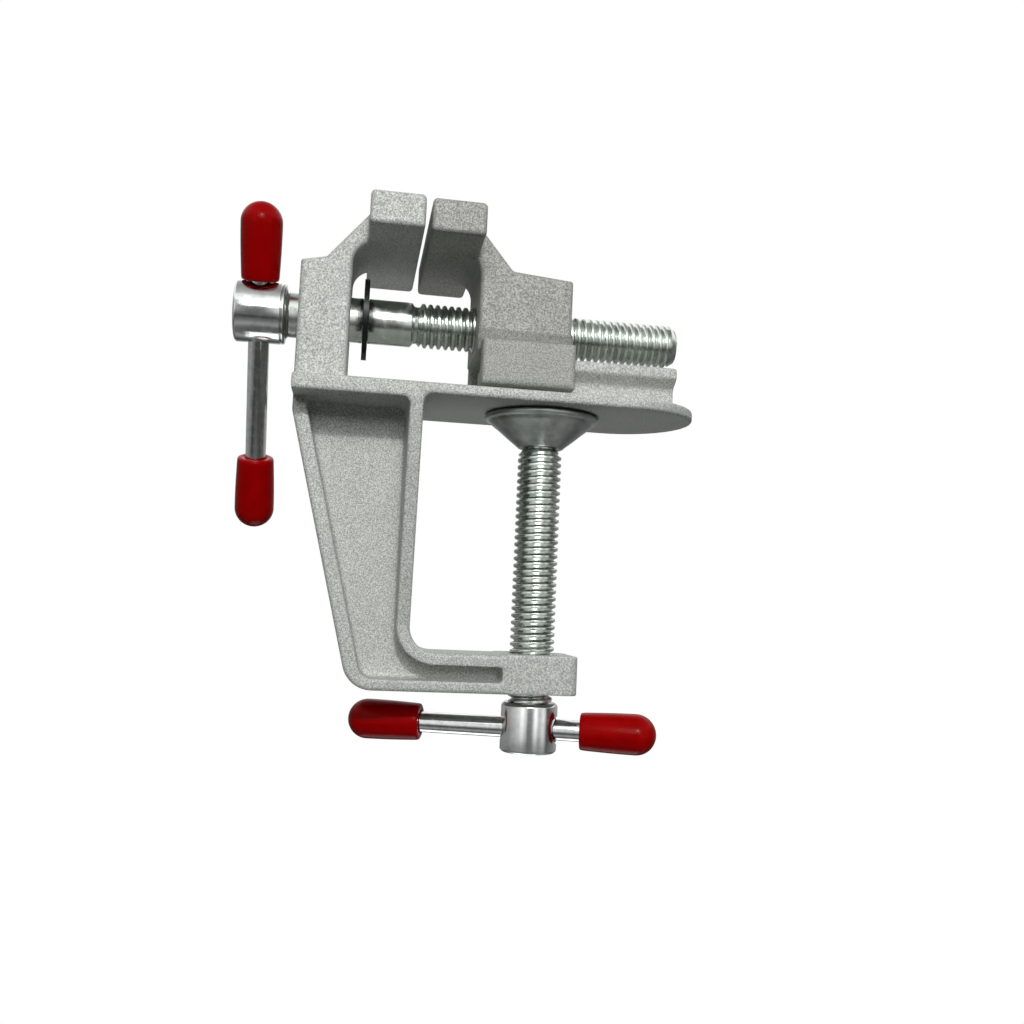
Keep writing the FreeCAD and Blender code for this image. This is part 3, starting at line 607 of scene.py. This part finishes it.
def clamp_hub(material):
    """The clamp screw's head: a plain drum with a chamfered collar under the thread."""
    start, end = stations("clamp_screw_hub", clamp_axis, Z_AXIS)
    outer = reach("clamp_screw_hub", clamp_axis, Z_AXIS)
    chamfer = 0.4 * MM
    collar = 0.5 * MM
    piece = spun("clamp_hub_turned", [
        (start, 0), (start, outer - chamfer), (start + chamfer, outer), (end - collar, outer),
        (end, outer - chamfer), (end, 0)], steps=96)
    rounded_edges(piece, EDGE_BREAK, angle=20)
    drill(piece, BAR_HOLE, 4 * outer, axis_matrix(clamp_bar_origin, clamp_bar_axis))
    smooth(piece)
    finish_piece(piece, "clamp_screw_hub", "clamp_screw", material)


def bar(name, node, body, origin, direction, material):
    """A drawn rod, chamfered at both ends."""
    start, end = stations(node, origin, direction)
    radius = reach(node, origin, direction)
    chamfer = 0.5 * MM
    piece = spun(name, [
        (start, 0), (start, radius - chamfer), (start + chamfer, radius),
        (end - chamfer, radius), (end, radius - chamfer), (end, 0)], steps=64)
    piece.data.transform(axis_matrix(origin, direction))
    smooth(piece)
    finish_piece(piece, node, body, material)


def cap(name, node, body, origin, direction, bar_radius, material):
    """A dipped cap: thin at the open mouth, which faces the bar's middle, fuller at the end."""
    start, end = stations(node, origin, direction)
    if abs(start) > abs(end):
        direction = -direction
        start, end = stations(node, origin, direction)
    outer = reach(node, origin, direction)
    mouth = outer * 0.914
    bore = bar_radius + 0.02 * MM
    bore_end = start + 8 * MM
    dome = end - outer
    profile = [
        (bore_end, 0), (bore_end, bore), (start + 0.3 * MM, bore), (start, bar_radius + 0.3 * MM),
        (start, mouth - 0.35 * MM), (start + 0.12 * MM, mouth - 0.1 * MM), (start + 0.4 * MM, mouth)]
    for share in (0.1, 0.25, 0.45, 0.65, 0.85):
        swell = mouth + (outer - mouth) * math.sin(share * math.pi / 2)
        profile.append((start + (dome - start) * share, swell))
    for angle in quarter_arc(12)[:-1]:
        profile.append((dome + outer * math.sin(angle), outer * math.cos(angle)))
    profile.append((end, 0))
    piece = spun(name, profile, steps=64)
    piece.data.transform(axis_matrix(origin, direction))
    smooth(piece, angle=50)
    finish_piece(piece, node, body, material)


# ---------------------------------------------------------------- pad and clip

PAD_HOLE = 2.6 * MM
PAD_FOOT = 4.1 * MM
# The pad's section in millimetres. The foot's edge and the bottom inside are given as (up from the
# low end, out from the foot's radius), the flared wall as (down from the top, radius), and the rim
# and the wall inside as (down from the top, in from the rim's radius).
PAD_FOOT_EDGE = [(0.0, -0.35), (0.1, -0.05), (0.35, 0.15)]
PAD_FLARE = [
    (4.5, 5.35), (3.5, 6.55), (2.7, 7.45), (2.0, 8.35), (1.55, 9.0), (1.2, 9.3), (1.0, 9.35)]
PAD_RIM = [
    (0.92, 0.45), (0.85, 0.15), (0.7, 0.0), (0.12, 0.0), (0.0, 0.12),
    (0.0, 1.4), (0.3, 1.8), (1.9, 2.9)]
PAD_BOTTOM = [(2.2, 1.0), (1.0, -0.3)]


def swivel_pad(material):
    """The pressed cup: a flat foot, a flared wall with a pressed step, and a rolled rim."""
    low, high = stations("swivel_pad", clamp_axis, Z_AXIS)
    rim_radius = reach("swivel_pad", clamp_axis, Z_AXIS)
    profile = [(low, PAD_HOLE)]
    profile += [(low + up * MM, PAD_FOOT + out * MM) for up, out in PAD_FOOT_EDGE]
    profile += [(high - down * MM, radius * MM) for down, radius in PAD_FLARE]
    profile += [(high - down * MM, rim_radius - inward * MM) for down, inward in PAD_RIM]
    profile += [(low + up * MM, PAD_FOOT + out * MM) for up, out in PAD_BOTTOM]
    profile += [(low + PAD_BOTTOM[-1][0] * MM, PAD_HOLE), (low, PAD_HOLE)]
    piece = spun("swivel_pad_pressed", profile, steps=96)
    apply_modifier(piece, "SUBSURF", levels=1, render_levels=1)
    smooth(piece, angle=60)
    finish_piece(piece, "swivel_pad", "pad", material)


def dress_clip(material):
    """The clip keeps its CAD shape."""
    clip = nodes["retaining_clip"]
    clip.data.materials.clear()
    clip.data.materials.append(material)


# ---------------------------------------------------------------- studio

# Soft and mirrored light by height: straight down (0), over the horizon (0.5), straight up (1).
SOFT_BY_HEIGHT = [(0.0, 0.02), (0.40, 0.02), (0.50, 0.05), (0.65, 0.14), (1.0, 0.3)]
MIRROR_BY_HEIGHT = [
    (0.0, 0.15), (0.02, 0.18), (0.07, 0.42), (0.16, 0.2), (0.235, 0.07), (0.33, 0.3), (0.42, 0.8),
    (0.5, 1.0), (0.6, 1.0), (0.68, 0.9), (0.74, 1.45), (0.84, 1.45), (0.92, 0.7), (1.0, 0.45)]
# Mirrored light by bearing: from behind (0) by the left, the viewer (0.47) and the right.
MIRROR_BY_BEARING = [
    (0.0, 1.0), (0.035, 0.3), (0.12, 0.35), (0.22, 0.4), (0.30, 0.65), (0.35, 0.9), (0.40, 1.4),
    (0.435, 0.9), (0.465, 0.25), (0.50, 0.3), (0.55, 1.45), (0.59, 0.7), (0.64, 1.1), (0.695, 0.1),
    (0.78, 0.3), (0.87, 0.45), (0.96, 0.5), (1.0, 1.0)]
# The light by bearing is full up to the first rise from the horizon, and gone at the second.
BEARINGS_FADE = (0.2, 0.5)
FLOOR_SIZE = 6000 * MM
FLOOR_HEIGHT = -110 * MM


def grey_ramp(tree, factor, stops):
    """Brightness by place along a scale; the stops are (place, strength)."""
    node = ramp(tree, factor, stops)
    node.color_ramp.interpolation = "EASE"
    return node.outputs["Color"]


def studio():
    """A white surround for the view, and for the object the room that it stands in.

    The room is given by direction. Its ceiling is bright, the light under it falls off fast, and
    round the horizon stand a bright window on each side of the dark place where the viewer is.
    """
    world = bpy.data.worlds.new("studio_world")
    bpy.context.scene.world = world
    world.use_nodes = True
    tree = world.node_tree
    tree.nodes.clear()
    path = add_node(tree, "ShaderNodeLightPath")
    ray = add_node(tree, "ShaderNodeSeparateXYZ", {
        0: add_node(tree, "ShaderNodeTexCoord").outputs["Generated"]})
    tilt = add_node(tree, "ShaderNodeMapRange", {
        "Value": ray.outputs["Z"], "From Min": -1.0, "From Max": 1.0, "To Min": 0.0, "To Max": 1.0})
    forward = add_node(tree, "ShaderNodeMath", {0: ray.outputs["Y"], 1: -1.0}, operation="MULTIPLY")
    bearing = add_node(tree, "ShaderNodeMath", {
        0: ray.outputs["X"], 1: forward.outputs[0]}, operation="ARCTAN2")
    turn = add_node(tree, "ShaderNodeMapRange", {
        "Value": bearing.outputs[0], "From Min": -math.pi, "From Max": math.pi,
        "To Min": 0.0, "To Max": 1.0})
    level = add_node(tree, "ShaderNodeMath", {0: ray.outputs["Z"]}, operation="ABSOLUTE")
    near_level = add_node(tree, "ShaderNodeMapRange", {
        "Value": level.outputs[0], "From Min": BEARINGS_FADE[0], "From Max": BEARINGS_FADE[1],
        "To Min": 1.0, "To Max": 0.0})
    height_light = grey_ramp(tree, tilt.outputs["Result"], MIRROR_BY_HEIGHT)
    bearing_light = grey_ramp(tree, turn.outputs["Result"], MIRROR_BY_BEARING)
    banded = add_node(tree, "ShaderNodeMix", {
        "Factor": near_level.outputs["Result"], 6: (1, 1, 1, 1), 7: bearing_light},
        data_type="RGBA")
    room = add_node(tree, "ShaderNodeVectorMath", {
        0: height_light, 1: banded.outputs[2]}, operation="MULTIPLY")
    mirror = add_node(tree, "ShaderNodeBackground", {"Color": room.outputs[0], "Strength": 1.0})
    soft = add_node(tree, "ShaderNodeBackground", {
        "Color": grey_ramp(tree, tilt.outputs["Result"], SOFT_BY_HEIGHT), "Strength": 1.0})
    white = add_node(tree, "ShaderNodeBackground", {"Color": linear("#FFFFFF"), "Strength": 1.0})
    seen = add_node(tree, "ShaderNodeMath", {
        0: path.outputs["Is Camera Ray"], 1: path.outputs["Is Transmission Ray"]}, operation="MAXIMUM")
    glossy = add_node(tree, "ShaderNodeMixShader", {
        0: path.outputs["Is Glossy Ray"], 1: soft.outputs[0], 2: mirror.outputs[0]})
    mix = add_node(tree, "ShaderNodeMixShader", {
        0: seen.outputs[0], 1: glossy.outputs[0], 2: white.outputs[0]})
    add_node(tree, "ShaderNodeOutputWorld", {"Surface": mix.outputs[0]})


def floor():
    """A plain white floor for the view, below the longest travel. From beneath it isn't seen."""
    bpy.ops.mesh.primitive_plane_add(size=FLOOR_SIZE, location=(0, 0, FLOOR_HEIGHT))
    sheet = bpy.context.object
    sheet.name = "white_floor"
    material = bpy.data.materials.new("white_floor")
    material.use_nodes = True
    tree = material.node_tree
    tree.nodes.clear()
    behind = add_node(tree, "ShaderNodeNewGeometry").outputs["Backfacing"]
    front = add_node(tree, "ShaderNodeMath", {0: 1.0, 1: behind}, operation="SUBTRACT")
    seen = add_node(tree, "ShaderNodeMath", {
        0: front.outputs[0], 1: add_node(tree, "ShaderNodeLightPath").outputs["Is Camera Ray"]},
        operation="MULTIPLY")
    clear = add_node(tree, "ShaderNodeBsdfTransparent")
    white = add_node(tree, "ShaderNodeEmission", {"Color": linear("#FFFFFF"), "Strength": 1.0})
    mix = add_node(tree, "ShaderNodeMixShader", {
        0: seen.outputs[0], 1: clear.outputs[0], 2: white.outputs[0]})
    add_node(tree, "ShaderNodeOutputMaterial", {"Surface": mix.outputs[0]})
    sheet.data.materials.append(material)


def lamp(name, place, aim, width, height, power, mirrored=True):
    """A rectangular lamp, in metres and watts. The view hides it, and gloss shows it if mirrored."""
    light = bpy.data.lights.new(name, "AREA")
    light.shape = "RECTANGLE"
    light.size = width
    light.size_y = height
    light.energy = power
    item = bpy.data.objects.new(name, light)
    bpy.context.scene.collection.objects.link(item)
    item.visible_camera = False
    item.visible_glossy = mirrored
    item.location = place
    item.rotation_euler = (Vector(aim) - Vector(place)).to_track_quat("-Z", "Y").to_euler()


# The view: 35 mm on a full frame, level with the clamp's arm, and turned a little to the right and
# up. The angles are in radians.
CAMERA_PLACE = Vector((-32.23, -174.64, -33.84)) * MM
CAMERA_PAN, CAMERA_TILT, CAMERA_ROLL = -0.157, 0.092, -0.044
CAMERA_LENS = 35.2
CAMERA_SENSOR = 36
CAMERA_NEAR = 5 * MM


def camera():
    """The camera of the view; its turn starts from looking along Y."""
    pan = Matrix.Rotation(CAMERA_PAN, 3, "Z")
    tilt = Matrix.Rotation(CAMERA_TILT, 3, "X")
    roll = Matrix.Rotation(CAMERA_ROLL, 3, "Y")
    right, ahead, up = (pan @ tilt @ roll).col
    lens = bpy.data.cameras.new("view")
    lens.sensor_width = CAMERA_SENSOR
    lens.lens = CAMERA_LENS
    lens.clip_start = CAMERA_NEAR
    item = bpy.data.objects.new("view", lens)
    bpy.context.scene.collection.objects.link(item)
    facing = Matrix((right, up, -ahead)).transposed().to_4x4()
    item.matrix_world = Matrix.Translation(CAMERA_PLACE) @ facing
    bpy.context.scene.camera = item


# ---------------------------------------------------------------- assembly

# The arm's inner flange meets the plate here: its face in the throat, its thickness, and how far
# the plate's thicker root hangs below the rest of the plate.
THROAT_FACE = -21.95 * MM
FLANGE = 2.3 * MM
ROOT_DROP = 0.8 * MM
FLANGE_HALF_WIDTH = 12.9 * MM
flange_fillets = [
    fillet_bar((THROAT_FACE, 0.0), 1.5 * MM, 1, FLANGE_HALF_WIDTH),
    fillet_bar((THROAT_FACE - FLANGE, -ROOT_DROP), 1.2 * MM, -1, FLANGE_HALF_WIDTH)]
casting("frame_cast", "frame_casting", "frame", cast_aluminium(
    "frame_aluminium", "#8B8E8A", "#C3C6C1", "#EDF0EB", "#B6B9B4", "#CDD0CB"), flange_fillets)

# The relief above the ledge on each side of the moving jaw, as (out from the middle, height) in
# millimetres.
LEDGE_RELIEF = [(7.2, 11.15), (9.9, 11.15), (9.9, 13.1), (8.3, 13.1)]
ledge_reliefs = [[(side * out * MM, height * MM) for out, height in LEDGE_RELIEF] for side in (-1, 1)]
casting("moving_jaw_cast", "moving_jaw", "jaw", cast_aluminium(
    "jaw_aluminium", "#7B7C77", "#A7A8A3", "#D0D1CC", "#9B9C97", "#B1B2AD"), reliefs=ledge_reliefs)

zinc_plate = (("#B4BBB4", "#D3D8D2"), (0.16, 0.30), 0.25)
vise_screw(turned_steel("zinc_plated_vise_screw", X_AXIS, vise_axis, *zinc_plate))
clamp_screw(turned_steel("zinc_plated_clamp_screw", Z_AXIS, clamp_axis, *zinc_plate))
vise_hub(turned_steel(
    "polished_vise_hub", X_AXIS, vise_axis, ("#BABDBB", "#D2D4D3"), (0.10, 0.18), 0.2))
clamp_hub(turned_steel(
    "polished_clamp_hub", Z_AXIS, clamp_axis, ("#CDD0CE", "#E4E6E5"), (0.10, 0.18), 0.2))
swivel_pad(turned_steel(
    "pressed_zinc_plated_pad", Z_AXIS, clamp_axis, ("#929995", "#ADB3AF"), (0.36, 0.46), 0.15))
dress_clip(black_spring_steel())

bar("vise_bar_drawn", "vise_bar", "vise_bar", vise_bar_origin, vise_bar_axis,
    drawn_bar_steel("bright_vise_bar", vise_bar_axis))
bar("clamp_bar_drawn", "clamp_bar", "clamp_bar", clamp_bar_origin, clamp_bar_axis,
    drawn_bar_steel("bright_clamp_bar", clamp_bar_axis))
vinyl = dipped_vinyl()
bar_radius = reach("vise_bar", vise_bar_origin, vise_bar_axis)
for end_name in ("top", "bottom"):
    cap("vise_cap_" + end_name, "vise_bar_cap_" + end_name, "vise_bar",
        vise_bar_origin, vise_bar_axis, bar_radius, vinyl)
for end_name in ("right", "left"):
    cap("clamp_cap_" + end_name, "clamp_bar_cap_" + end_name, "clamp_bar",
        clamp_bar_origin, clamp_bar_axis, bar_radius, vinyl)

studio()
floor()
vise_middle = (-0.01, 0, -0.01)
pad_face = (0, 0, 0)
lamp("key_lamp", (-0.02, -0.62, 0.29), vise_middle, 0.035, 0.035, 1.5)
lamp("front_softbox", (-0.04, -0.62, 0.24), vise_middle, 0.36, 0.30, 1.75)
lamp("low_bounce", (0.0, 0.20, -0.54), pad_face, 0.30, 0.30, 0.5)
lamp("back_softbox", (0.04, 0.62, 0.20), pad_face, 0.36, 0.30, 1.6, mirrored=False)
camera()

scene = bpy.context.scene
scene.view_settings.view_transform = "Standard"
